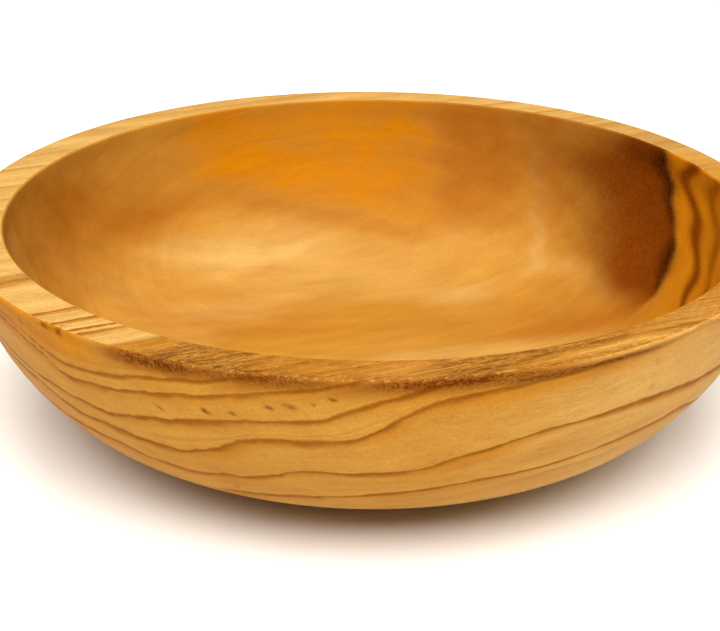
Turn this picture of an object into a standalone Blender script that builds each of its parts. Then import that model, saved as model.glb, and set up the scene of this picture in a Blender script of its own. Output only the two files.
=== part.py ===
"""Turned olive-wood bowl, lathe-turned from one blank.

Metres, +Z up. The origin is the centre of the flat base, on the surface that
the bowl stands on. +Z is the turning axis. -Y is the side whose outer wall
shows the long, nearly level growth lines, and the grain runs along X.
"""

import math

import bmesh
import bpy

MM = 0.001

# ---- driving dimensions, in millimetres -------------------------------------
RIM_RADIUS = 75.0  # outer radius of the rim, before seasoning
HEIGHT = 41.0  # rim plane above the base
MOUTH_RADIUS = 67.7  # radius of the hollow where it meets the rim
BASE_RADIUS = 36.8  # flat disc that the bowl stands on
FLOOR_THICKNESS = 8.5  # wood left under the hollow, on the axis
ARRIS = 0.45  # sanded radius on both edges of the rim
BASE_EDGE = 0.5  # sanded radius where the wall meets the base

# A bowl goes slightly oval as it seasons, because the wood shrinks more across
# the grain than along it: the half-axis at OVAL_ANGLE from +X ends up OVAL
# longer than RIM_RADIUS, and the one across it as much shorter.
OVAL = 0.95
OVAL_ANGLE = math.radians(-54)
# The hollow was cut this far off the centre of the outside, towards +X, so the
# rim is wider at -X. It is centred again at its floor.
HOLLOW_SHIFT = 0.95

SEGMENTS = 80  # round the axis
WALL_STEPS = 13  # up the outside
HOLLOW_STEPS = 15  # down the inside

# Turned profiles as (radius, height), each a smooth curve through its points.
OUTSIDE = [
    (38.2, 0.62),
    (44.2, 2.9),
    (52.1, 6.5),
    (59.4, 11.0),
    (65.1, 17.0),
    (69.1, 23.0),
    (71.8, 29.0),
    (73.7, 35.0),
    (RIM_RADIUS - 0.1, HEIGHT - ARRIS),
]
HOLLOW = [
    (MOUTH_RADIUS - 0.05, HEIGHT - ARRIS),
    (67.1, 36.6),
    (65.4, 31.4),
    (63.1, 26.3),
    (59.7, 21.3),
    (54.9, 16.6),
    (48.7, 13.0),
    (41.1, 10.6),
    (31.0, 9.25),
    (18.0, 8.65),
    (7.0, FLOOR_THICKNESS + 0.02),
]


def smooth_curve(points, steps):
    """Evenly spaced points on a Catmull-Rom curve through points."""
    padded = [
        tuple(2 * a - b for a, b in zip(points[0], points[1])),
        *points,
        tuple(2 * a - b for a, b in zip(points[-1], points[-2])),
    ]
    dense = []
    for i in range(1, len(padded) - 2):
        p0, p1, p2, p3 = padded[i - 1 : i + 3]
        for k in range(24):
            t = k / 24
            dense.append(
                tuple(
                    0.5
                    * (
                        2 * b
                        + (c - a) * t
                        + (2 * a - 5 * b + 4 * c - d) * t * t
                        + (3 * b - a - 3 * c + d) * t**3
                    )
                    for a, b, c, d in zip(p0, p1, p2, p3)
                )
            )
    dense.append(points[-1])
    along = [0.0]
    for a, b in zip(dense, dense[1:]):
        along.append(along[-1] + math.dist(a, b))
    found, at = [], 0
    for k in range(steps + 1):
        want = along[-1] * k / steps
        while at < len(along) - 2 and along[at + 1] < want:
            at += 1
        span = along[at + 1] - along[at]
        share = (want - along[at]) / span if span else 0.0
        found.append(
            tuple(a + (b - a) * share for a, b in zip(dense[at], dense[at + 1]))
        )
    return found


def quarter(centre, radius, first, last, steps):
    """Points on a sanded edge, from angle first to last in degrees."""
    made = []
    for k in range(steps + 1):
        angle = math.radians(first + (last - first) * k / steps)
        made.append(
            (
                centre[0] + radius * math.cos(angle),
                centre[1] + radius * math.sin(angle),
            )
        )
    return made


def profile():
    """The half section as (radius, height, hollow), where hollow is 0 on the outside and 1 inside."""
    wall = smooth_curve(OUTSIDE, WALL_STEPS)
    hollow = smooth_curve(HOLLOW, HOLLOW_STEPS)
    top_outer = wall[-1]
    section = [(BASE_RADIUS, 0.0, 0.0)]
    section += [
        (r, z, 0.0)
        for r, z in quarter((BASE_RADIUS, BASE_EDGE), BASE_EDGE, -60, -30, 1)
    ]
    section += [(r, z, 0.0) for r, z in wall]
    section += [
        (r, z, 0.0)
        for r, z in quarter(
            (top_outer[0] - ARRIS, HEIGHT - ARRIS), ARRIS, 30, 90, 2
        )
    ]
    section += [
        (r, z, 1.0)
        for r, z in quarter(
            (hollow[0][0] + ARRIS, HEIGHT - ARRIS), ARRIS, 90, 150, 2
        )
    ]
    section += [(r, z, 1.0) for r, z in hollow]
    return section


def place(radius, height, hollow, angle):
    """A point of the seasoned bowl, in metres."""
    r = radius * (1 + OVAL / RIM_RADIUS * math.cos(2 * (angle - OVAL_ANGLE)))
    x = r * math.cos(angle) + HOLLOW_SHIFT * hollow * min(1.0, height / HEIGHT)
    y = r * math.sin(angle)
    return (x * MM, y * MM, height * MM)


def turn_bowl(name):
    """The bowl as one closed body: rings of the section round the axis, a flat base, and the floor's middle on the axis."""
    form = bmesh.new()
    rings = [
        [
            form.verts.new(place(r, z, h, 2 * math.pi * k / SEGMENTS))
            for k in range(SEGMENTS)
        ]
        for r, z, h in profile()
    ]
    form.faces.new(list(reversed(rings[0])))
    shift = HOLLOW_SHIFT * FLOOR_THICKNESS / HEIGHT
    middle = form.verts.new((shift * MM, 0, FLOOR_THICKNESS * MM))
    for k in range(SEGMENTS):
        j = (k + 1) % SEGMENTS
        for low, high in zip(rings, rings[1:]):
            form.faces.new((low[k], low[j], high[j], high[k]))
        form.faces.new((rings[-1][k], rings[-1][j], middle))
    bmesh.ops.recalc_face_normals(form, faces=form.faces)
    mesh = bpy.data.meshes.new(name)
    form.to_mesh(mesh)
    form.free()
    mesh.shade_smooth()
    mesh.set_sharp_from_angle(angle=math.radians(38))
    made = bpy.data.objects.new(name, mesh)
    bpy.context.scene.collection.objects.link(made)
    return made


def wood(name, colour, roughness):
    made = bpy.data.materials.new(name)
    made.use_nodes = True
    shader = made.node_tree.nodes["Principled BSDF"]
    shader.inputs["Base Color"].default_value = (*colour, 1)
    shader.inputs["Roughness"].default_value = roughness
    shader.inputs["Metallic"].default_value = 0
    return made


def main():
    for old in list(bpy.data.objects):
        bpy.data.objects.remove(old)
    bowl = turn_bowl("bowl")
    bowl.data.materials.append(wood("olive_wood", (0.66, 0.36, 0.11), 0.42))
    bowl.location = (0, 0, 0)


main()
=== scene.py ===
"""The look of a turned olive-wood bowl: a fine turned surface, solid olive wood, and a plain studio."""

import math

import bpy
import numpy as np
from mathutils import Matrix, Vector


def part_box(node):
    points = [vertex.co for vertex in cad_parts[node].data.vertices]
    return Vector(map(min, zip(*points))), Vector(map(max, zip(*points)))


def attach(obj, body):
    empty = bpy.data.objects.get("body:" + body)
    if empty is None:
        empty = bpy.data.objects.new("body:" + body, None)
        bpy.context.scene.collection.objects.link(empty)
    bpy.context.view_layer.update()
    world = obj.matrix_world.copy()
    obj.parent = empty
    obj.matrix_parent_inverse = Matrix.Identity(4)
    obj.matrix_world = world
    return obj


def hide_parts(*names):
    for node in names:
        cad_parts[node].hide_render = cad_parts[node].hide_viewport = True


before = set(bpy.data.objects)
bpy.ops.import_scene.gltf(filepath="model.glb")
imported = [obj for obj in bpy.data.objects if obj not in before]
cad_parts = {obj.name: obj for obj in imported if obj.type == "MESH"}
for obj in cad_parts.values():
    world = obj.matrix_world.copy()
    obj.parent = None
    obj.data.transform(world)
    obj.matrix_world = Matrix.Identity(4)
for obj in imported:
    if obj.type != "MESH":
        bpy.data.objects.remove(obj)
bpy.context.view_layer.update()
LOW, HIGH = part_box("bowl")
MM = 0.001
HEIGHT = (HIGH[2] - LOW[2]) / MM  # rim plane above the base, 41 mm

# ---- the turned shape, in millimetres, as the CAD model has it ---------------
RIM_RADIUS = 75.0
MOUTH_RADIUS = 67.7
BASE_RADIUS = 36.8
FLOOR_THICKNESS = 8.5
ARRIS = 0.45
OVAL = 0.95
OVAL_ANGLE = math.radians(-54)
HOLLOW_SHIFT = 0.95
OUTSIDE = [
    (37.25, 0.25),
    (38.2, 0.62),
    (44.2, 2.9),
    (52.1, 6.5),
    (59.4, 11.0),
    (65.1, 17.0),
    (69.1, 23.0),
    (71.8, 29.0),
    (73.7, 35.0),
    (RIM_RADIUS - 0.1, HEIGHT - ARRIS),
]
HOLLOW = [
    (MOUTH_RADIUS - 0.05, HEIGHT - ARRIS),
    (67.1, 36.6),
    (65.4, 31.4),
    (63.1, 26.3),
    (59.7, 21.3),
    (54.9, 16.6),
    (48.7, 13.0),
    (41.1, 10.6),
    (31.0, 9.25),
    (18.0, 8.65),
    (7.0, FLOOR_THICKNESS + 0.02),
]
COLUMNS = 576
BASE, WALL, RIM, BOWL = 0, 1, 2, 3  # which surface a ring is on


def smooth_curve(points, steps):
    """Evenly spaced points on a Catmull-Rom curve through points."""
    p = np.array(points, float)
    p = np.vstack([2 * p[0] - p[1], p, 2 * p[-1] - p[-2]])
    t = np.linspace(0, 1, 40, endpoint=False)[:, None]
    runs = []
    for a, b, c, d in zip(p, p[1:], p[2:], p[3:]):
        runs.append(
            0.5
            * (
                2 * b
                + (c - a) * t
                + (2 * a - 5 * b + 4 * c - d) * t**2
                + (3 * b - a - 3 * c + d) * t**3
            )
        )
    dense = np.vstack(runs + [p[-2][None]])
    along = np.r_[0, np.cumsum(np.hypot(*np.diff(dense, axis=0).T))]
    want = np.linspace(0, along[-1], steps + 1)
    return np.stack([np.interp(want, along, dense[:, i]) for i in (0, 1)], -1)


def smoothstep(low, high, x):
    t = np.clip((x - low) / (high - low), 0, 1)
    return t * t * (3 - 2 * t)


def ripple(seed, x, waves):
    """A gentle irregular wave round the axis: x in radians, waves the highest number of periods."""
    rng = np.random.default_rng(seed)
    total = np.zeros_like(x)
    for n in range(2, waves + 1):
        total += rng.normal() / n**0.7 * np.cos(n * x + rng.uniform(0, 2 * np.pi))
    return total


def section():
    """Rings of the half section: radius, height, 1 in the hollow, and the surface they are on."""
    rows = []
    for r in np.r_[1.5, np.linspace(4, BASE_RADIUS - 1.2, 14), BASE_RADIUS - 0.4, BASE_RADIUS]:
        rows.append((r, 0.0, 0, BASE))
    rows.append((BASE_RADIUS + 0.25, 0.07, 0, WALL))
    wall = smooth_curve(OUTSIDE, 88)
    rows += [(r, z, 0, WALL) for r, z in wall]
    top = HEIGHT - ARRIS
    for a in np.radians([18, 36, 54, 72]):
        rows.append((wall[-1][0] - ARRIS * (1 - math.cos(a)), top + ARRIS * math.sin(a), 0, WALL))
    outer = wall[-1][0] - ARRIS
    inner = MOUTH_RADIUS - 0.05 + ARRIS
    for share in np.linspace(0, 1, 11):
        # 0 at the outer arris and 1 at the inner one; the shift comes in across the rim
        rows.append((outer + (inner - outer) * share, HEIGHT, share, RIM))
    hollow = smooth_curve(HOLLOW, 112)
    for a in np.radians([72, 54, 36, 18]):
        rows.append((hollow[0][0] + ARRIS * (1 - math.cos(a)), top + ARRIS * math.sin(a), 1, BOWL))
    rows += [(r, z, 1, BOWL) for r, z in hollow]
    rows += [(4.5, FLOOR_THICKNESS + 0.01, 1, BOWL), (2.0, FLOOR_THICKNESS, 1, BOWL)]
    return np.array(rows)


def turned_surface():
    """The fine surface of the bowl. Returns its mesh and the place of each vertex in the wood."""
    rows = section()
    angle = np.arange(COLUMNS) * 2 * np.pi / COLUMNS
    a, r = np.meshgrid(angle, rows[:, 0])
    z = np.repeat(rows[:, 1][:, None], COLUMNS, 1)
    inside = np.repeat(rows[:, 2][:, None], COLUMNS, 1)
    part = np.repeat(rows[:, 3][:, None], COLUMNS, 1)

    # hand sanding: the rim dips and its edges are worn unevenly
    near_rim = smoothstep(HEIGHT - 2.5, HEIGHT, z)
    edge_noise = 0.5 + 0.5 * np.tanh(ripple(3, a, 24))
    outer_edge = near_rim * (part <= RIM) * np.clip(1 - np.abs(r - 74.7) / 0.9, 0, 1)
    inner_edge = near_rim * np.clip(1 - np.abs(r - 67.9) / 0.9, 0, 1)
    r = r - outer_edge * (0.03 + 0.12 * edge_noise) + inner_edge * (0.02 + 0.10 * (1 - edge_noise))
    z = z - near_rim * (0.02 + 0.03 * (1 + np.tanh(ripple(5, a, 6)))) - (outer_edge + inner_edge) * 0.06 * edge_noise
    # the slight rings that the gouge leaves, sanded almost flat
    along = r * 0.9 + z * 0.6
    r = r + np.where(part == WALL, 0.012 * np.sin(along * 2.3) * smoothstep(2, 6, z), 0)
    z = z + np.where(part == BOWL, 0.014 * np.sin(r * 2.9) * smoothstep(6, 12, r) * smoothstep(66, 60, r), 0)

    grow = 1 + OVAL / RIM_RADIUS * np.cos(2 * (a - OVAL_ANGLE))
    shift = HOLLOW_SHIFT * inside * np.minimum(1, z / HEIGHT)
    x = r * grow * np.cos(a) + shift
    y = r * grow * np.sin(a)
    z = np.clip(z, 0, HEIGHT)

    count = len(rows)
    spots = np.stack([x, y, z], -1).reshape(-1, 3)
    under = len(spots)
    ends = np.array([(0, 0, 0), (HOLLOW_SHIFT * FLOOR_THICKNESS / HEIGHT, 0, FLOOR_THICKNESS)])
    spots = np.vstack([spots, ends])
    faces = []
    k = np.arange(COLUMNS)
    j = (k + 1) % COLUMNS
    quads = []
    for i in range(count - 1):
        low, high = i * COLUMNS, (i + 1) * COLUMNS
        quads.append(np.stack([low + k, low + j, high + j, high + k], -1))
    faces += np.vstack(quads).tolist()
    faces += np.stack([np.full(COLUMNS, under), j, k], -1).tolist()
    last = (count - 1) * COLUMNS
    faces += np.stack([last + k, last + j, np.full(COLUMNS, under + 1)], -1).tolist()
    mesh = bpy.data.meshes.new("turned_bowl")
    mesh.from_pydata((spots * MM).tolist(), [], faces)
    mesh.update()
    part = np.r_[part.reshape(-1), BASE, BOWL]
    return mesh, spots, part


# ---- the wood, as smooth fields over the surface ------------------------------
# Growth lines on the outside, as heights in mm at angles in degrees from +X.
# Each closes on itself round the bowl. The front is -90. The layers climb
# towards the back of the bowl, so new ones show there.
CLIMB = [
    (-165, 9), (-150, 4), (-141, 2.5), (-118, 0), (-106, 2), (-90, 5.5), (-75, 9.5),
    (-60, 12), (-50, 12.4), (-38, 11), (-22, 7), (-8, 5), (7, 11), (17, 21), (28, 33),
    (45, 42), (70, 48), (95, 50), (120, 47), (145, 39), (163, 29), (180, 19),
]
LINES = {
    1: [(-109, 13.0), (-101, 14.1), (-88, 16.6), (-76, 18.8), (-68, 19.8), (-59, 21.1), (-51, 22.0), (-45, 22.6), (-41, 22.0), (-36, 20.1)],
    2: [(-140, 19.5), (-128, 19.0), (-121, 17.5), (-117, 17.1), (-111, 17.9), (-106, 18.9), (-103, 20.2), (-99, 21.7), (-94, 22.2), (-87, 22.6), (-83, 23.1), (-80, 24.8), (-76, 26.6), (-70, 28.4), (-64, 29.3), (-55, 29.9), (-47, 29.3), (-38, 28.3)],
    3: [(-141, 27.0), (-136, 24.9), (-133, 23.8), (-128, 23.5), (-121, 23.1), (-115, 22.8), (-112, 23.8), (-108, 25.8), (-105, 27.7), (-102, 28.5), (-96, 28.9), (-92, 29.6), (-89, 31.6), (-85.5, 34.4), (-83, 36.2), (-79, 37.7), (-73, 38.5), (-65, 39.4), (-55, 40.0), (-46, 40.8)],
    4: [(-141, 28.2), (-131, 27.3), (-124, 27.1), (-121, 28.0), (-118, 28.9), (-113, 30.1), (-107, 31.3), (-103, 32.2), (-98, 33.0), (-94, 34.2), (-90, 36.5), (-86, 38.3), (-80, 40.2), (-73, 41.5)],
    5: [(-144, 37.5), (-139, 36.1), (-135.5, 34.8), (-132.5, 32.5), (-130, 32.1), (-126, 32.4), (-120, 33.5), (-114, 34.8), (-109, 35.9), (-103, 37.4), (-99, 38.5), (-94, 39.8), (-88, 41.8)],
    6: [(-144, 37.9), (-138, 36.6), (-135, 35.3), (-132, 34.5), (-126, 34.8), (-121, 35.7), (-117, 37.0), (-113, 37.9), (-109, 38.7), (-103, 40.0), (-96, 42)],
}
# growth lines across the rim, as y - 0.45 x in mm
RIM_LINES = [
    -140, -112, -98, -86, -78, -70, -58.5, -50, -45.3, -38.6, -36.35, -32.3, -27.3, -10.8, -0.2,
    9, 17, 26, 33.5, 41, 52, 60, 78, 110,
]
# where the other layers would be at -118 degrees, below the base and above the rim
LEVELS = {
    -9: -56, -8: -49.5, -7: -43, -6: -37.5, -5: -31, -4: -23.5, -3: -17, -2: -9.5, -1: -3,
    0: 5.5, 1: 11.6, 2: 17.1, 3: 22.8, 4: 28.9, 5: 33.9, 6: 36.8, 7: 44, 8: 50,
}


def round_curve(knots, degrees):
    """A smooth closed curve through (angle, value) knots, read at degrees."""
    k = np.array(sorted(knots), float)
    t = np.r_[k[-2:, 0] - 360, k[:, 0], k[:2, 0] + 360]
    v = np.r_[k[-2:, 1], k[:, 1], k[:2, 1]]
    slope = np.zeros_like(v)
    step = np.diff(v) / np.diff(t)
    slope[1:-1] = (step[:-1] * np.diff(t)[1:] + step[1:] * np.diff(t)[:-1]) / (t[2:] - t[:-2])
    d = (degrees - k[0, 0]) % 360 + k[0, 0]
    i = np.clip(np.searchsorted(t, d, side="right") - 1, 1, len(t) - 3)
    h = t[i + 1] - t[i]
    u = (d - t[i]) / h
    return (
        (2 * u**3 - 3 * u**2 + 1) * v[i]
        + (u**3 - 2 * u**2 + u) * h * slope[i]
        + (3 * u**2 - 2 * u**3) * v[i + 1]
        + (u**3 - u**2) * h * slope[i + 1]
    )


def open_curve(knots, degrees):
    """The same kind of curve, but open, and held level past its ends."""
    t, v = np.array(knots, float).T
    slope = np.gradient(v, t)
    d = np.clip(degrees, t[0], t[-1])
    i = np.clip(np.searchsorted(t, d, side="right") - 1, 0, len(t) - 2)
    h = t[i + 1] - t[i]
    u = (d - t[i]) / h
    return (
        (2 * u**3 - 3 * u**2 + 1) * v[i]
        + (u**3 - 2 * u**2 + u) * h * slope[i]
        + (3 * u**2 - 2 * u**3) * v[i + 1]
        + (u**3 - u**2) * h * slope[i + 1]
    )


def line_height(number, degrees):
    """Height of one growth line on the outer wall, in mm."""

    def free(d):
        return LEVELS[number] + round_curve(CLIMB, d) + 0.9 * ripple(40 + number, np.radians(d), 9)

    if number not in LINES:
        return free(degrees)
    knots = LINES[number]
    first, last = knots[0][0], knots[-1][0]
    # past its known ends, the line drifts over to the run of its neighbours
    lead = knots[0][1] - free(np.array([float(first)]))[0]
    tail = knots[-1][1] - free(np.array([float(last)]))[0]
    drift = (
        free(degrees)
        + lead * np.exp(-((first - degrees) % 360) / 40)
        + tail * np.exp(-((degrees - last) % 360) / 40)
    )
    known = (degrees >= first) & (degrees <= last)
    return np.where(known, open_curve(knots, degrees), drift)


def layer_on_wall(degrees, z):
    """Growth coordinate: 10 n on line n, in mm of height near each line, and monotone between."""
    numbers = sorted(LEVELS)
    grid = np.linspace(-180, 180, 1441)
    heights = np.stack([line_height(n, grid) for n in numbers])
    for i in range(1, len(heights)):
        heights[i] = np.maximum(heights[i], heights[i - 1] + 0.35)
    here = np.stack([np.interp(degrees, grid, h) for h in heights])
    out = np.full_like(z, 0.0)
    for i, n in enumerate(numbers):
        base = here[i]
        room = (here[i + 1] - base) if i + 1 < len(numbers) else np.full_like(z, 8.0)
        up = np.minimum(1.0, room * 0.28)
        down = np.minimum(3.2, room * 0.66)
        d = z - base
        # just above the line, the stretch between, then just below the next line
        level = np.where(
            d < up,
            d / up * 1.0,
            np.where(
                d < room - down,
                1.0 + (d - up) / np.maximum(room - down - up, 1e-6) * (10 - 1.0 - 3.2),
                10 - 3.2 * (room - d) / down,
            ),
        )
        use = (d >= 0) & (d < room) if i + 1 < len(numbers) else d >= 0
        out = np.where(use, 10 * n + level, out)
    below = z < here[0]
    return np.where(below, 10 * numbers[0] + (z - here[0]), out)


def blob(a, b, a0, b0, wa, wb, power=2):
    return np.exp(-(np.abs((a - a0) / wa) ** power) - np.abs((b - b0) / wb) ** power)


def wood_fields(spots, part):
    """Smooth fields at each vertex. The material adds everything finer than these."""
    x, y, z = spots.T
    degrees = np.degrees(np.arctan2(y, x))
    inner_degrees = np.degrees(np.arctan2(y, x - HOLLOW_SHIFT * z / HEIGHT))
    radius = np.hypot(x, y)
    profile = smooth_curve(HOLLOW, 300)
    along = np.r_[0, np.cumsum(np.hypot(*np.diff(profile, axis=0).T))]
    # depth down the hollow, in mm along its wall from the mouth, with the oval and the shift undone
    turned = np.hypot(x - HOLLOW_SHIFT * z / HEIGHT, y)
    turned = turned / (1 + OVAL / RIM_RADIUS * np.cos(2 * (np.radians(inner_degrees) - OVAL_ANGLE)))
    depth = np.interp(-turned, -profile[:, 0], along)
    grain = y - 0.45 * x  # on the rim the lines run 24 degrees off +X
    climb = round_curve(CLIMB, degrees)
    # the layers arch over the middle, and their loops are long along the grain
    long_way, short_way = x * 0.92 + y * 0.39, y * 0.92 - x * 0.39
    share = np.clip(np.hypot(long_way * 0.86, short_way) / 60, 0, 1)
    plane = z - 22 - (climb - 22) * share

    wall = (part == WALL) | (part == BASE)
    rim = part == RIM
    hollow = part == BOWL

    # --- growth coordinate ---
    layer = layer_on_wall(degrees, z)
    under = smoothstep(50, 40, radius) * (part != BOWL)
    layer = np.where(wall, layer * (1 - under) + under * (plane * 10 / 6.0), layer)
    levels = 10.0 * np.arange(len(RIM_LINES))
    gap = grain + 0.9 * np.sin(x / 9.0) * smoothstep(-45, -60, grain)
    knots, values = [], []
    for i, u in enumerate(RIM_LINES):
        lower = (u - RIM_LINES[i - 1]) if i else 10
        upper = (RIM_LINES[i + 1] - u) if i + 1 < len(RIM_LINES) else 10
        reach_low, reach_high = min(1.2, lower * 0.4), min(1.2, upper * 0.4)
        knots += [u - reach_low, u, u + reach_high]
        values += [levels[i] - reach_low, levels[i], levels[i] + reach_high]
    layer = np.where(rim, np.interp(gap, knots, values), layer)
    layer = np.where(hollow, plane * 10 / 7.5, layer)

    # --- how strongly the lines show ---
    force = np.where(wall, 0.95, np.ones_like(z))
    low_left = smoothstep(-106, -116, degrees) * blob(degrees, z, -128, 12, 20, 4.5, 4)
    force = np.where(wall, force * (1 - 0.85 * low_left), force)
    # the lowest line is alone at the front, and the third fades where it meets the rim
    low_front = smoothstep(-106, -98, degrees) * smoothstep(-24, -34, degrees)
    force = np.where(wall, force * (1 - low_front * smoothstep(0.8, -0.8, z - line_height(1, degrees) + 2.4)), force)
    force = np.where(wall, force * (1 - 0.7 * smoothstep(-64, -50, degrees) * smoothstep(-20, -34, degrees) * smoothstep(36, 38, z)), force)
    stripes = blob(degrees, z * 0, -131, 0, 8, 1, 4) + 0.35 * blob(degrees, z * 0, -147.5, 0, 4, 1, 2)
    front_left = smoothstep(-100, -92, degrees) * smoothstep(-30, -50, degrees)
    elsewhere = 0.12 * smoothstep(25, 60, np.abs(degrees + 70) - 40)
    force = np.where(rim, 0.15 + 0.85 * stripes + 0.22 * front_left + elsewhere * (1 - stripes), force)
    force = np.where(hollow, 0.05 + 0.25 * smoothstep(-5, -40, y) * smoothstep(60, 30, depth), force)

    # --- width of the amber band under a line, 0 to 1 ---
    band = 0.34 + 0.14 * ripple(7, np.radians(degrees), 14) + 0.10 * ripple(8, np.radians(degrees) + z / 14, 7)
    band += 0.6 * blob(degrees, z, -77, 25.0, 6, 3.2) + 0.4 * blob(degrees, z, -76, 37.0, 9, 2.6)
    band += 0.6 * blob(degrees, z, -87, 31.0, 5, 3.0) + 0.5 * blob(degrees, z, -108, 24.5, 6, 3)
    band += 0.6 * blob(degrees, z, -117, 16.0, 14, 2.8) + 0.35 * blob(degrees, z, -135, 34.5, 5, 3)
    band = np.where(wall, band + 0.2 * smoothstep(-128, -140, degrees), np.where(rim, 0.55, 0.3))

    # --- heartwood: a dark wedge on the right of the hollow, with a black seam at its edge ---
    side = np.where(hollow, inner_degrees, degrees)
    deep = np.where(hollow, depth, (HEIGHT - z) * 1.1)
    edge = np.interp(deep, [-1, 0, 7.5, 12.5, 16, 22.5, 29, 40], [28.2, 27.5, 22.3, 17.8, 15.0, 10.7, 8.6, 5])
    edge = edge + 0.5 * ripple(33, deep / 6, 9)
    left = 51 - 0.95 * np.maximum(deep - 9, 0) + 1.5 * ripple(34, deep / 8, 6)
    heart = smoothstep(-0.9, 0.9, side - edge) * smoothstep(17, -15, side - left)
    border = smoothstep(64, 44, side + 0.35 * deep) * smoothstep(-0.9, 0.9, side - edge)
    heart = np.maximum(heart, 0.36 * border)
    heart = heart * smoothstep(35, 25, deep + 1.2 * ripple(35, np.radians(side) * 3, 7))
    heart = heart * (1 - 0.45 * smoothstep(7, 0, deep) * smoothstep(34, 45, side))
    heart = np.where(rim, 0.22 * heart, np.where(wall, 0.75 * heart, heart))
    # the seam swells near the mouth and again halfway down
    swell = 1.7 + 1.5 * np.exp(-(((deep - 3.5) / 3.5) ** 2)) + 1.5 * np.exp(-(((deep - 19) / 3.2) ** 2))
    seam = np.exp(-(((side - edge - 0.4 * swell) / swell) ** 2)) * (
        smoothstep(-1, 1, deep) * smoothstep(14.5, 10, deep)
        + smoothstep(13, 16, deep) * smoothstep(27, 22, deep)
    )
    seam += 0.28 * blob(side, deep, 33.5, 2.6, 5.5, 2.6)
    seam = np.where(hollow, seam, np.where(wall, 0.6 * seam, 0.1 * seam))

    # --- soft masses of colour in the hollow, with wandering borders ---
    straight_degrees = inner_degrees
    inner_degrees = inner_degrees + 1.7 * ripple(31, depth / 9, 7)
    depth = depth + 0.9 * ripple(32, np.radians(inner_degrees) * 1.5, 9) * smoothstep(0, 8, depth)
    # the run of the layers under the mouth at the right
    sweep = inner_degrees + 0.55 * np.maximum(depth - 2.5, 0) ** 1.25
    beyond = smoothstep(0.3, -1, (straight_degrees - edge) / (1 + 0.22 * np.maximum(depth - 20, 0))) * smoothstep(-75, -40, inner_degrees) * (depth < 45)
    bound = 80 - 0.30 * depth
    # the mass ends lower towards the right, over a dark streak
    lower = 15 + 12.5 * smoothstep(128, 78, inner_degrees)
    orange = smoothstep(135, 118, inner_degrees) * smoothstep(-4.5, 4.5, inner_degrees - bound)
    orange = orange * smoothstep(2.5, -2.5, depth - lower)
    vivid = np.where(hollow, beyond * smoothstep(39, 22, depth), 0)
    brown = 0.80 * smoothstep(45, 58, inner_degrees) * smoothstep(4.5, -4.5, inner_degrees - bound) * smoothstep(33, 14, depth)
    brown += 0.25 * smoothstep(150, 162, inner_degrees) * smoothstep(1, 8, depth) * smoothstep(30, 22, depth)
    brown += 0.35 * blob(inner_degrees, depth, 70, 9, 7, 9) + 0.30 * blob(inner_degrees, depth, 68, 24, 8, 6)
    brown += 0.45 * blob(inner_degrees, depth, 24, 45, 16, 9)
    brown += 0.80 * blob(inner_degrees, depth, 161, 10, 11, 9) + 0.55 * blob(inner_degrees, depth, 144, 13, 16, 12)
    brown += 0.62 * np.exp(-(((depth - lower - 2.8) / 3.1) ** 2)) * smoothstep(158, 146, inner_degrees) * smoothstep(66, 80, inner_degrees)
    brown += 0.22 * smoothstep(165, 180, np.abs(inner_degrees)) * smoothstep(26, 12, depth)
    stripe = 1.4 * np.exp(-(((sweep - 19) / 2.2) ** 2)) + 0.8 * np.exp(-(((sweep - 9.5) / 2.6) ** 2))
    stripe += 0.5 * np.exp(-(((sweep + 4) / 3.0) ** 2)) + 0.5 * np.exp(-(((sweep + 18) / 3.5) ** 2))
    heart = np.where(hollow, np.maximum(heart, 0.76 * np.minimum(stripe, 1.2) * beyond * smoothstep(42, 26, depth)), heart)
    brown += 0.30 * blob(x, y, 2, 17, 42, 10, 3) + 0.30 * blob(x, y, 45, 20, 11, 10)
    brown += 0.30 * blob(x, y, -32, 14, 17, 9) + 0.35 * blob(x, y, 54, 2, 8, 9)
    brown += 0.5 * smoothstep(58, 50, inner_degrees) * smoothstep(0, 6, inner_degrees - left) * smoothstep(30, 16, depth)
    brown += 0.75 * blob(x, y, 46, 10, 8, 4.5) + 0.35 * blob(x, y, 31, 10, 8, 3.5) + 0.45 * blob(x, y, 54, 10, 6, 8)
    brown += 0.5 * blob(x, y, 15, 59, 15, 5)
    brown = np.where(hollow, brown, 0)
    orange = np.maximum(orange, 0.5 * blob(x, y, 13, 60, 14, 5))
    heart = np.where(hollow, np.maximum(heart, 0.22 * blob(x, y, 46, 43, 8, 9)), heart)
    pale = 0.95 * np.exp(-(((inner_degrees - (61.5 - 0.46 * depth)) / 2.2) ** 2)) * smoothstep(40, 30, depth)
    pale += 1.0 * blob(inner_degrees, depth, 116, 31.5, 19, 6.5, 3) + 0.55 * blob(inner_degrees, depth, 138, 26, 9, 4)
    pale += 0.55 * np.exp(-(((depth - 48) / 5.5) ** 2)) * smoothstep(38, 60, inner_degrees) * smoothstep(180, 165, inner_degrees)
    pale += 0.34 * smoothstep(22, 32, depth) * smoothstep(60, 50, depth) * smoothstep(38, 55, inner_degrees) * smoothstep(185, 165, inner_degrees)
    # a pale band across the middle of the floor: a painted highlight
    painted_floor_highlight = np.exp(-(((y - 0.16 * x + 0.2) / 3.4) ** 2)) * smoothstep(-8, 8, x) * smoothstep(54, 42, x)
    pale += 1.35 * painted_floor_highlight
    pale += 0.6 * blob(inner_degrees, depth, 34, 31, 13, 2.6) + 0.4 * blob(inner_degrees, depth, 31, 41, 9, 2.2)
    # the left inner wall is painted paler and more vivid: painted light, where the lamps leave it darker
    painted_light_left_wall = smoothstep(158, 172, np.abs(inner_degrees)) * smoothstep(1, 6, depth) * smoothstep(36, 22, depth)
    pale += 0.55 * painted_light_left_wall
    vivid = vivid + np.where(hollow, 0.35 * painted_light_left_wall, 0)
    streaky = 0.75 + 0.25 * np.tanh(2 * ripple(21, long_way / 40 + short_way / 9, 7))
    pale = np.where(hollow, pale * streaky, 0)
    orange = np.where(hollow, orange * streaky, 0)
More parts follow.
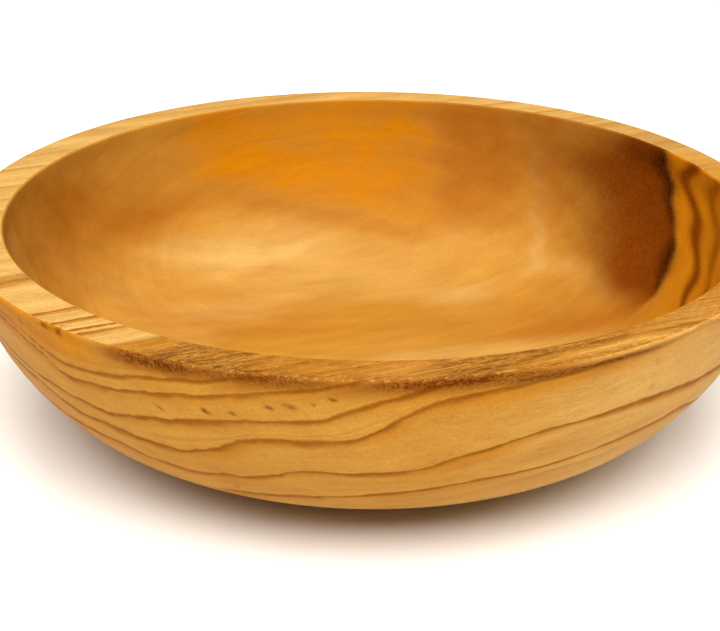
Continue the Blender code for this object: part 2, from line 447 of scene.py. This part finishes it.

    # --- pale wood on the outside; the paler band near the base is painted light from the floor ---
    pale = np.where(wall, 0.75 * smoothstep(-84, -52, degrees) * smoothstep(8, -4, degrees) + 0.30 * smoothstep(20, 9, z) + 0.12 * smoothstep(10, 16, z) * smoothstep(37, 33, z), pale)
    light_rim = smoothstep(-46.0, -44.8, grain) * smoothstep(-80, -95, degrees)
    light_rim = light_rim + smoothstep(60, 110, np.abs(degrees + 60)) * (1 - 0.35 * smoothstep(20, 60, y))
    light_rim += 0.5 * blob(degrees, radius, -59, 73.4, 9, 1.7, 2) + 0.45 * smoothstep(15, 35, degrees)
    light_rim = light_rim + 0.45 * blob(degrees, radius, -44, 71.5, 4.5, 6) + 0.25 * blob(degrees, radius, -86, 72, 4, 9)
    pale = np.where(rim, light_rim * (1 - 0.75 * blob(degrees, radius, -147.8, 71, 2.0, 30, 4)), pale)
    # along the front the rim's flat cut shows brown, open grain
    front = smoothstep(-44.8, -46.6, grain) * smoothstep(60, 20, x)
    front = np.maximum(front, smoothstep(-105, -95, degrees) * smoothstep(-20, -36, degrees))
    upper = smoothstep(36.5, 39.5, z - 0.5 * ripple(9, np.radians(degrees), 20)) * smoothstep(-127, -119, degrees) * smoothstep(-55, -72, degrees)
    brown = np.where(wall, 0.75 * upper, brown)
    brown = np.where(rim, 0.52 * front * (1 - 0.6 * blob(degrees, radius, -59, 73.6, 10, 1.9, 4)), brown)

    # --- dark mottling near the rim at the front ---
    mottle = (
        1.25 * blob(degrees, z, -116, 40.2, 6.5, 1.7, 3)
        + 1.05 * blob(degrees, z, -102, 40.3, 8.0, 1.45, 3)
        + 1.05 * blob(degrees, z, -85.5, 40.0, 7.0, 1.5)
        + 1.2 * blob(degrees, z, -75.5, 40.3, 9.0, 1.0)
        + 1.15 * blob(degrees, z - 0.06 * (degrees + 66), -66.0, 39.6, 9.5, 0.42)
        + 0.9 * blob(degrees, z - 0.05 * (degrees + 55), -56.0, 40.0, 5.0, 0.40)
        + 0.5 * blob(degrees, z, -131, 40.9, 2.6, 0.8)
    )
    mottle = np.where(wall, mottle, 0)
    on_rim = (
        1.0 * smoothstep(-120.5, -114, degrees) * smoothstep(-100, -106, degrees)
        + 0.42 * smoothstep(-106, -100, degrees) * smoothstep(-82, -90, degrees)
        + 1.0 * smoothstep(-86, -79, degrees) * smoothstep(-46, -64, degrees) * (1 - 0.85 * blob(degrees, radius, -60, 73.8, 13, 2.0, 4))
        + 0.50 * blob(degrees, radius, -41, 69.5, 6, 3)
        + 0.45 * blob(degrees, radius, -49.5, 72.5, 3, 3.5)
        + 0.45 * blob(degrees, radius, -147.8, 71, 2.0, 30, 4)
        + 0.5 * blob(degrees, radius, -104, 74.3, 18, 1.1, 4)
    )
    streaks = np.where(rim, on_rim, 0)
    # warm wood between the rim's edge and the first line at the left
    warm = 0.75 * smoothstep(34, 38.5, z) * smoothstep(-122, -128, degrees) * smoothstep(-160, -150, degrees)
    orange = np.where(wall, warm, orange)
    # how strong the fine figure is, and the rim's outer arris, where a painted highlight and dark wear marks go
    fine = np.where(rim, 1.3 + 1.3 * front, np.where(hollow, 0.5, 1.0))
    arris = smoothstep(-0.55, -0.1, z - HEIGHT) * smoothstep(73.9, 74.5, radius) * np.where(hollow, 0, 1)
    arris = arris * (1 - 0.6 * smoothstep(-60, -48, degrees) * smoothstep(20, 0, degrees))
    fields = {
        "fine": fine, "arris": arris,
        "layer": layer, "force": force, "band": np.clip(band, 0.05, 1.2), "heart": heart, "seam": seam,
        "orange": orange, "brown": brown, "pale": pale, "mottle": mottle,
        "streaks": streaks, "vivid": vivid,
    }
    return {name: values if name in ("layer", "band", "fine") else np.clip(values, 0, 1.3) for name, values in fields.items()}


def lay_fields(mesh, fields):
    for name, values in fields.items():
        held = mesh.attributes.new(name, "FLOAT", "POINT")
        held.data.foreach_set("value", np.asarray(values, np.float32))


mesh, spots, part = turned_surface()
lay_fields(mesh, wood_fields(spots, part))
bowl = bpy.data.objects.new("turned_bowl", mesh)
bpy.context.scene.collection.objects.link(bowl)
mesh.shade_smooth()
mesh.set_sharp_from_angle(angle=math.radians(50))


# ---- the wood's material ------------------------------------------------------
class Graph:
    """Short names for the shader nodes that the wood is made of."""

    def __init__(self, material):
        material.use_nodes = True
        self.tree = material.node_tree
        self.shader = self.tree.nodes["Principled BSDF"]

    def node(self, kind, **settings):
        made = self.tree.nodes.new(kind)
        for key, value in settings.items():
            setattr(made, key, value)
        return made

    def feed(self, socket, value):
        if hasattr(value, "is_output"):
            self.tree.links.new(value, socket)
        elif isinstance(value, (tuple, list)):
            if len(socket.default_value) == 4 and len(value) == 3:
                value = (*value, 1)
            socket.default_value = value
        else:
            socket.default_value = value

    def math(self, operation, *values, clamp=False):
        made = self.node("ShaderNodeMath", operation=operation, use_clamp=clamp)
        for socket, value in zip(made.inputs, values):
            self.feed(socket, value)
        return made.outputs[0]

    def add(self, a, b):
        return self.math("ADD", a, b)

    def mul(self, a, b, clamp=False):
        return self.math("MULTIPLY", a, b, clamp=clamp)

    def field(self, name):
        return self.node("ShaderNodeAttribute", attribute_name=name).outputs["Fac"]

    def dot(self, vector, axis):
        made = self.node("ShaderNodeVectorMath", operation="DOT_PRODUCT")
        self.feed(made.inputs[0], vector)
        self.feed(made.inputs[1], tuple(axis))
        return made.outputs["Value"]

    def join(self, x, y, z):
        made = self.node("ShaderNodeCombineXYZ")
        for socket, value in zip(made.inputs, (x, y, z)):
            self.feed(socket, value)
        return made.outputs[0]

    def stretch(self, axes, along, across, through=None):
        through = across if through is None else through
        return self.join(*(self.mul(a, k) for a, k in zip(axes, (along, across, through))))

    def noise(self, vector, detail=3, rough=0.5, distortion=0.0):
        made = self.node("ShaderNodeTexNoise")
        self.feed(made.inputs["Vector"], vector)
        made.inputs["Scale"].default_value = 1
        made.inputs["Detail"].default_value = detail
        made.inputs["Roughness"].default_value = rough
        made.inputs["Distortion"].default_value = distortion
        return made.outputs["Fac"]

    def span(self, value, low, high, to_low=0.0, to_high=1.0, smooth=True):
        made = self.node(
            "ShaderNodeMapRange", interpolation_type="SMOOTHSTEP" if smooth else "LINEAR"
        )
        self.feed(made.inputs["Value"], value)
        for name, number in (
            ("From Min", low), ("From Max", high), ("To Min", to_low), ("To Max", to_high)
        ):
            self.feed(made.inputs[name], number)
        return made.outputs["Result"]

    def mix(self, share, a, b, blend="MIX"):
        made = self.node("ShaderNodeMix", data_type="RGBA", blend_type=blend, clamp_factor=True)
        self.feed(made.inputs[0], share)
        self.feed(made.inputs[6], a)
        self.feed(made.inputs[7], b)
        return made.outputs[2]


GROUND = (0.378, 0.174, 0.0235)
PALE = (0.448, 0.259, 0.074)
ORANGE = (0.395, 0.132, 0.0008)
VIVID = (0.45, 0.148, 0.001)
AMBER = (0.35, 0.14, 0.012)
BROWN = (0.285, 0.097, 0.008)
LINE = (0.168, 0.0465, 0.0006)
MOTTLE = (0.092, 0.0175, 0.0006)
STREAK = (0.108, 0.035, 0.006)
HEART = (0.124, 0.0215, 0)
SEAM = (0.02, 0.003, 0.0004)
FLECK = (0.118, 0.0245, 0.0012)


def olive_wood(name):
    made = bpy.data.materials.new(name)
    g = Graph(made)
    place = g.node("ShaderNodeTexCoord").outputs["Object"]
    scaled = g.node("ShaderNodeVectorMath", operation="SCALE")
    g.feed(scaled.inputs[0], place)
    scaled.inputs["Scale"].default_value = 1000
    spot = scaled.outputs[0]
    # the grain runs a little off +X: 22 degrees in plan, and rising
    grain = Vector((0.92, 0.37, 0.12)).normalized()
    across = Vector((-grain.y, grain.x, 0)).normalized()
    through = grain.cross(across)
    axes = [g.dot(spot, v) for v in (grain, across, through)]

    cloud = g.noise(g.stretch(axes, 0.016, 0.055), 3, 0.5, 0.6)
    drift = g.noise(g.stretch(axes, 0.06, 0.22), 3, 0.55)
    patch = g.noise(g.stretch(axes, 0.11, 0.20), 2, 0.5)
    fibre = g.noise(g.stretch(axes, 0.075, 1.5), 5, 0.62)
    thread = g.noise(g.stretch(axes, 0.30, 5.2), 4, 0.6)
    grit = g.noise(g.stretch(axes, 1.6, 5.0), 2, 0.6)
    pore = g.noise(g.stretch(axes, 0.55, 6.5), 2, 0.5)

    layer = g.field("layer")
    wobble = g.add(g.mul(g.add(drift, -0.5), 2.0), g.mul(g.add(thread, -0.5), 0.5))
    ring = g.add(layer, wobble)
    above = g.math("FLOORED_MODULO", g.add(ring, 500.0), 10.0)  # mm above a line
    below = g.math("SUBTRACT", 10.0, above)  # mm below the next one
    force = g.field("force")
    band = g.field("band")
    # a growth line is sharp on top, thicker and thinner along its run, with an amber band below
    breadth = g.span(patch, 0.28, 0.70, 0.52, 1.5)
    sharp = g.span(above, g.mul(breadth, 0.48), 0.0)
    soft = g.span(below, g.mul(breadth, 1.25), g.mul(breadth, 0.05))
    core = g.math("MAXIMUM", sharp, soft)
    fade = g.span(below, g.add(g.mul(band, 3.6), 1.2), g.add(g.mul(band, 1.5), 0.2))
    tail = g.math("MAXIMUM", fade, sharp)
    minor = g.node("ShaderNodeTexNoise", noise_dimensions="1D")
    g.feed(minor.inputs["W"], g.mul(ring, 0.42))
    minor.inputs["Scale"].default_value = 1
    minor.inputs["Detail"].default_value = 3
    minor = minor.outputs["Fac"]

    along_line = g.span(drift, 0.28, 0.60, 0.62, 1.0)
    core_share = g.mul(g.mul(core, g.mul(force, along_line)), g.span(fibre, 0.25, 0.75, 0.70, 0.98), clamp=True)
    tail_share = g.mul(g.mul(tail, g.mul(force, g.add(g.mul(band, 0.55), 0.5))), g.span(fibre, 0.2, 0.8, 0.75, 1.2), clamp=True)

    pale = g.field("pale")
    orange = g.field("orange")
    brown = g.field("brown")
    colour = g.mix(g.span(cloud, 0.36, 0.68, 0.0, 0.34), GROUND, AMBER)
    colour = g.mix(g.mul(pale, g.span(cloud, 0.2, 0.7, 1.0, 0.75)), colour, PALE)
    colour = g.mix(g.mul(orange, g.span(drift, 0.34, 0.60, 0.55, 0.98)), colour, ORANGE)
    colour = g.mix(g.mul(g.field("vivid"), g.span(fibre, 0.2, 0.75, 0.70, 1.0)), colour, VIVID)
    colour = g.mix(g.mul(brown, g.span(fibre, 0.2, 0.8, 0.75, 1.0)), colour, BROWN)
    colour = g.mix(tail_share, colour, AMBER)
    colour = g.mix(core_share, colour, LINE)

    mottle = g.field("mottle")
    grains = g.add(g.mul(fibre, 0.30), g.add(g.mul(thread, 0.30), g.mul(grit, 0.40)))
    # seen near end grain, the dark pigment breaks up into short slanted strokes
    slanted = [g.dot(spot, v) for v in ((0.60, 0.0, -0.80), (0.80, 0.0, 0.60), (0.0, 1.0, 0.0))]
    strokes = g.noise(g.stretch(slanted, 0.62, 1.9, 0.5), 3, 0.7, 1.1)
    slant_share = g.span(g.dot(spot, (1.0, 0.0, 0.0)), -22.0, -4.0, 0.30, 0.0)
    patchy = g.add(g.mul(grains, 0.85), g.mul(g.add(strokes, -0.5), slant_share))
    patchy = g.span(g.add(patchy, 0.075), 0.41, 0.555, 0.30, 1.0)
    colour = g.mix(g.mul(g.mul(mottle, patchy), 0.86, clamp=True), colour, MOTTLE)
    # the rim's outer arris: a painted highlight in places, dark wear specks in others
    arris = g.field("arris")
    edge_noise = g.noise(g.stretch(axes, 1.1, 1.9), 3, 0.7)
    colour = g.mix(g.mul(arris, g.span(edge_noise, 0.52, 0.66, 0.0, 0.60)), colour, PALE)
    colour = g.mix(g.mul(arris, g.span(edge_noise, 0.48, 0.36, 0.0, 0.70)), colour, BROWN)
    # on the rim's flat cut it runs in fine streaks along the grain
    fine_streaks = g.noise(g.stretch(axes, 0.20, 2.6), 4, 0.72, 0.4)
    broad_streaks = g.noise(g.stretch(axes, 0.13, 0.55), 2, 0.5)
    streaked = g.span(
        g.add(g.add(g.mul(fine_streaks, 0.45), g.mul(grit, 0.3)), g.mul(broad_streaks, 0.25)), 0.44, 0.545, 0.05, 1.0
    )
    colour = g.mix(g.mul(g.mul(g.field("streaks"), streaked), 0.84, clamp=True), colour, STREAK)
    specks = g.noise(g.stretch(axes, 0.8, 3.2), 3, 0.7)
    colour = g.mix(g.mul(g.mul(g.field("streaks"), g.span(specks, 0.53, 0.64)), 0.45), colour, PALE)
    heart = g.field("heart")
    colour = g.mix(g.mul(heart, g.span(fibre, 0.2, 0.75, 1.0, 0.90)), colour, HEART)
    seam = g.field("seam")
    colour = g.mix(g.mul(seam, g.span(fibre, 0.25, 0.7, 0.95, 0.6)), colour, SEAM)

    # short slanted strokes of dark pigment under the first lines, and specks on the rim's edge
    fleck = None
    for degrees, height, long, wide, slant, share in FLECKS:
        turn = math.radians(degrees)
        reach = np.interp(height, [p[1] for p in OUTSIDE], [p[0] for p in OUTSIDE])
        centre = Vector((reach * math.cos(turn), reach * math.sin(turn), height))
        round_way, tilt = Vector((-math.sin(turn), math.cos(turn), 0)), math.radians(slant)
        stroke = math.cos(tilt) * round_way + math.sin(tilt) * Vector((0, 0, 1))
        cross = -math.sin(tilt) * round_way + math.cos(tilt) * Vector((0, 0, 1))
        out = Vector((math.cos(turn), math.sin(turn), 0))
        parts = [
            g.add(g.dot(spot, axis / size), -axis.dot(centre) / size)
            for axis, size in ((stroke, long), (cross, wide), (out, 3.0))
        ]
        gap = g.node("ShaderNodeVectorMath", operation="LENGTH")
        g.feed(gap.inputs[0], g.join(*parts))
        one = g.span(g.add(gap.outputs["Value"], g.mul(g.add(grit, -0.5), 2.2)), 1.7, 0.2, 0.0, share)
        fleck = one if fleck is None else g.math("MAXIMUM", fleck, one)
    colour = g.mix(g.mul(fleck, 0.82), colour, FLECK)

    # fine figure: minor rings, fibres, threads and short specks
    shade = g.add(
        g.add(g.mul(g.add(minor, -0.5), 0.30), g.mul(g.add(fibre, -0.5), 0.30)),
        g.add(g.mul(g.add(thread, -0.5), 0.44), g.mul(g.add(grit, -0.5), 0.42)),
    )
    shade = g.add(g.mul(shade, g.field("fine")), g.mul(g.add(drift, -0.5), 0.42))
    colour = g.mix(1.0, colour, g.join(*(g.add(1.0, g.mul(shade, k)) for k in (0.9, 1.2, 1.7))), "MULTIPLY")
    pores = g.span(pore, 0.66, 0.74)
    colour = g.mix(g.mul(pores, 0.35), colour, MOTTLE)
    g.feed(g.shader.inputs["Base Color"], colour)

    rough = g.add(0.46, g.add(g.mul(g.add(fibre, -0.5), 0.22), g.mul(core_share, 0.06)))
    g.feed(g.shader.inputs["Roughness"], g.add(rough, g.mul(pores, 0.12)))
    g.shader.inputs["Specular IOR Level"].default_value = 0.015

    relief = g.add(
        g.add(g.mul(fibre, 0.030), g.mul(thread, 0.012)),
        g.add(g.mul(core_share, 0.012), g.mul(pores, -0.02)),
    )
    bump = g.node("ShaderNodeBump")
    bump.inputs["Strength"].default_value = 0.5
    bump.inputs["Distance"].default_value = MM
    g.feed(bump.inputs["Height"], relief)
    g.feed(g.shader.inputs["Normal"], bump.outputs[0])
    return made


# angle and height on the wall, then half length, half width, slant and strength of each stroke
FLECKS = [
    (-115.9, 31.5, 0.95, 0.30, -38, 0.7), (-109.5, 32.8, 0.80, 0.42, -30, 1.0),
    (-106.0, 33.2, 0.60, 0.34, -20, 0.7), (-101.4, 35.2, 0.75, 0.38, -25, 0.85),
    (-98.8, 35.7, 1.00, 0.45, -10, 0.7), (-93.9, 37.4, 0.65, 0.34, -15, 0.8),
    (-96.2, 36.4, 0.45, 0.25, -30, 0.5), (-132.9, 40.5, 0.90, 0.40, -10, 0.9),
    (-130.2, 40.4, 0.80, 0.60, -35, 1.0), (-138.5, 38.8, 0.35, 0.90, 5, 0.6),
    (-54.0, 37.2, 0.4, 0.8, 15, 0.35), (-53.6, 32.2, 0.5, 0.7, 40, 0.3), (-109.3, 14.6, 0.4, 0.6, 0, 0.5),
]
mesh.materials.append(olive_wood("olive_wood_fine"))

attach(bowl, "root")
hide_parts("bowl")

# ---- studio ------------------------------------------------------------------
scene = bpy.context.scene
scene.view_settings.view_transform = "Standard"
scene.view_settings.look = "None"
scene.view_settings.exposure = 0
scene.view_settings.gamma = 1

world = bpy.data.worlds.new("studio")
world.use_nodes = True
world.node_tree.nodes["Background"].inputs["Color"].default_value = (1, 0.86, 0.68, 1)
world.node_tree.nodes["Background"].inputs["Strength"].default_value = 0.22
scene.world = world

floor_mesh = bpy.data.meshes.new("floor")
side = 6.0
floor_mesh.from_pydata(
    [(-side, -side, 0), (side, -side, 0), (side, side, 0), (-side, side, 0)], [], [(0, 1, 2, 3)]
)
floor = bpy.data.objects.new("floor", floor_mesh)
floor.location = (0, 0, LOW[2] - 0.0002)
scene.collection.objects.link(floor)
paper = bpy.data.materials.new("pale_paper")
paper.use_nodes = True
sheet = paper.node_tree.nodes["Principled BSDF"]
sheet.inputs["Base Color"].default_value = (0.93, 0.925, 0.92, 1)
sheet.inputs["Roughness"].default_value = 0.9
sheet.inputs["Specular IOR Level"].default_value = 0.0
floor_mesh.materials.append(paper)


def softbox(name, place, target, size, power, colour=(1, 1, 1)):
    light = bpy.data.lights.new(name, "AREA")
    light.shape = "RECTANGLE"
    light.size, light.size_y = size
    light.energy = power
    light.color = colour
    made = bpy.data.objects.new(name, light)
    made.location = place
    aim = Vector(target) - Vector(place)
    made.rotation_euler = aim.to_track_quat("-Z", "Y").to_euler()
    scene.collection.objects.link(made)
    return made


softbox("key", (0.03, -0.66, 0.88), (0, 0, 0.02), (1.2, 0.64), 21.4, (1, 0.985, 0.955))
softbox("top", (0.00, 0.08, 1.00), (0, 0, 0.02), (0.8, 0.8), 7.6, (1, 0.94, 0.82))

# ---- camera ------------------------------------------------------------------
FOCAL_PIXELS = 1652.8
camera = bpy.data.cameras.new("camera")
camera.sensor_width = 36
camera.lens = FOCAL_PIXELS / 720 * 36
camera.clip_start = 0.01
camera.clip_end = 50
yaw, pitch, roll = math.radians(-0.29), math.radians(23.65), math.radians(-0.31)
ahead = Vector(
    (math.sin(yaw) * math.cos(pitch), math.cos(yaw) * math.cos(pitch), -math.sin(pitch))
)
level = Vector((math.cos(yaw), -math.sin(yaw), 0))
lift = level.cross(ahead)
across = math.cos(roll) * level + math.sin(roll) * lift
upward = -math.sin(roll) * level + math.cos(roll) * lift
turn = Matrix((across, upward, -ahead)).transposed()
eye = bpy.data.objects.new("camera", camera)
eye.matrix_world = Matrix.Translation(
    (0, -3.85 * RIM_RADIUS * MM, (HEIGHT + 1.383 * RIM_RADIUS) * MM)
) @ turn.to_4x4()
scene.collection.objects.link(eye)
scene.camera = eye
